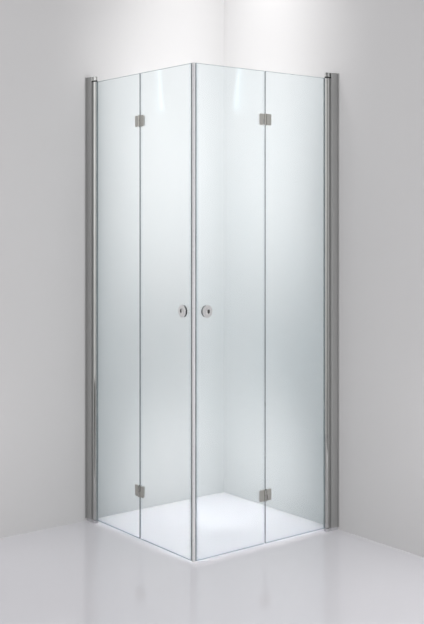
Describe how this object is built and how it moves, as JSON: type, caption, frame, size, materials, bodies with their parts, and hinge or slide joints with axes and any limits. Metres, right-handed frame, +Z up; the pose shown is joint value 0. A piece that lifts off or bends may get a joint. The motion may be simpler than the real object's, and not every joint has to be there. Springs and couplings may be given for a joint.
{
  "type": "corner shower enclosure",
  "caption": "Corner shower enclosure with bi-fold frameless glass doors on wall profiles, dished round knobs and a magnetic corner seal.",
  "frame": {"origin": "on the floor, under the middle of the closed enclosure's bounding box", "axes": "+Z up; +X from the left-hand wall towards the outside of the right-hand door; +Y from the outside of the left-hand door towards the back wall; the doors meet at the +X -Y corner"},
  "size_m": [0.805, 0.805, 2],
  "materials": {
    "channel_aluminium": "satin bright anodised",
    "profile_aluminium": "satin anodised",
    "cap_chrome": "polished",
    "foot_plastic": "silver grey moulded",
    "bush_plastic": "black moulded",
    "lock_screw_steel": "plain",
    "tube_chrome": "polished",
    "pivot_pin_steel": "ground",
    "glazing_rubber": "translucent grey",
    "door_glass": "clear toughened, polished edges",
    "hinge_chrome": "satin",
    "hinge_back_chrome": "satin",
    "hinge_pad_plastic": "clear",
    "hinge_screw_steel": "plain",
    "fold_pin_steel": "ground",
    "drip_seal_pvc": "clear",
    "fold_seal_pvc": "clear",
    "magnet_seal_pvc": "clear, slightly milky",
    "magnet_ferrite": "pale flexible magnet",
    "knob_chrome": "satin, turned",
    "knob_button_chrome": "polished",
    "knob_stud_steel": "plain",
    "knob_base_plastic": "black moulded"
  },
  "bodies": {
    "wall_frame": {"left_wall_channel": "channel_aluminium", "left_sliding_profile": "profile_aluminium", "left_top_bearing_cap": "cap_chrome", "left_foot": "foot_plastic", "left_pivot_bushes": "bush_plastic", "left_locking_screws": "lock_screw_steel", "right_wall_channel": "channel_aluminium", "right_sliding_profile": "profile_aluminium", "right_top_bearing_cap": "cap_chrome", "right_foot": "foot_plastic", "right_pivot_bushes": "bush_plastic", "right_locking_screws": "lock_screw_steel"},
    "left_inner_leaf": {"left_pivot_tube": "tube_chrome", "left_pivot_pins": "pivot_pin_steel", "left_glazing_gasket": "glazing_rubber", "left_inner_glass": "door_glass", "left_inner_hinge_plates": "hinge_chrome", "left_inner_back_plates": "hinge_back_chrome", "left_inner_hinge_pads": "hinge_pad_plastic", "left_inner_hinge_screws": "hinge_screw_steel", "left_inner_bottom_seal": "drip_seal_pvc", "left_fold_seal": "fold_seal_pvc"},
    "left_outer_leaf": {"left_outer_glass": "door_glass", "left_outer_hinge_plates": "hinge_chrome", "left_outer_back_plates": "hinge_back_chrome", "left_outer_hinge_pads": "hinge_pad_plastic", "left_outer_hinge_screws": "hinge_screw_steel", "left_fold_pins": "fold_pin_steel", "left_outer_bottom_seal": "drip_seal_pvc", "left_magnet_seal": "magnet_seal_pvc", "left_magnet_bar": "magnet_ferrite", "left_knob": "knob_chrome", "left_knob_button": "knob_button_chrome", "left_knob_stud": "knob_stud_steel", "left_knob_bases": "knob_base_plastic"},
    "right_inner_leaf": {"right_pivot_tube": "tube_chrome", "right_pivot_pins": "pivot_pin_steel", "right_glazing_gasket": "glazing_rubber", "right_inner_glass": "door_glass", "right_inner_hinge_plates": "hinge_chrome", "right_inner_back_plates": "hinge_back_chrome", "right_inner_hinge_pads": "hinge_pad_plastic", "right_inner_hinge_screws": "hinge_screw_steel", "right_inner_bottom_seal": "drip_seal_pvc", "right_fold_seal": "fold_seal_pvc"},
    "right_outer_leaf": {"right_outer_glass": "door_glass", "right_outer_hinge_plates": "hinge_chrome", "right_outer_back_plates": "hinge_back_chrome", "right_outer_hinge_pads": "hinge_pad_plastic", "right_outer_hinge_screws": "hinge_screw_steel", "right_fold_pins": "fold_pin_steel", "right_outer_bottom_seal": "drip_seal_pvc", "right_magnet_seal": "magnet_seal_pvc", "right_magnet_bar": "magnet_ferrite", "right_knob": "knob_chrome", "right_knob_button": "knob_button_chrome", "right_knob_stud": "knob_stud_steel", "right_knob_bases": "knob_base_plastic"}
  },
  "joints": [
    {"name": "left_door_pivot", "type": "hinge", "parent": "wall_frame", "child": "left_inner_leaf", "pos_m": [-0.3475, -0.3815, 0], "axis": [0, 0, 1], "range_deg": [0, 88]},
    {"name": "left_door_fold", "type": "hinge", "parent": "left_inner_leaf", "child": "left_outer_leaf", "pos_m": [0.012, -0.389, 0], "axis": [0, 0, -1], "range_deg": [0, 176]},
    {"name": "right_door_pivot", "type": "hinge", "parent": "wall_frame", "child": "right_inner_leaf", "pos_m": [0.3815, 0.3475, 0], "axis": [0, 0, -1], "range_deg": [0, 88]},
    {"name": "right_door_fold", "type": "hinge", "parent": "right_inner_leaf", "child": "right_outer_leaf", "pos_m": [0.389, -0.012, 0], "axis": [0, 0, 1], "range_deg": [0, 176]}
  ],
  "couplings": [
    {"joint": "left_door_fold", "follows": "left_door_pivot", "ratio": 2},
    {"joint": "right_door_fold", "follows": "right_door_pivot", "ratio": 2}
  ]
}
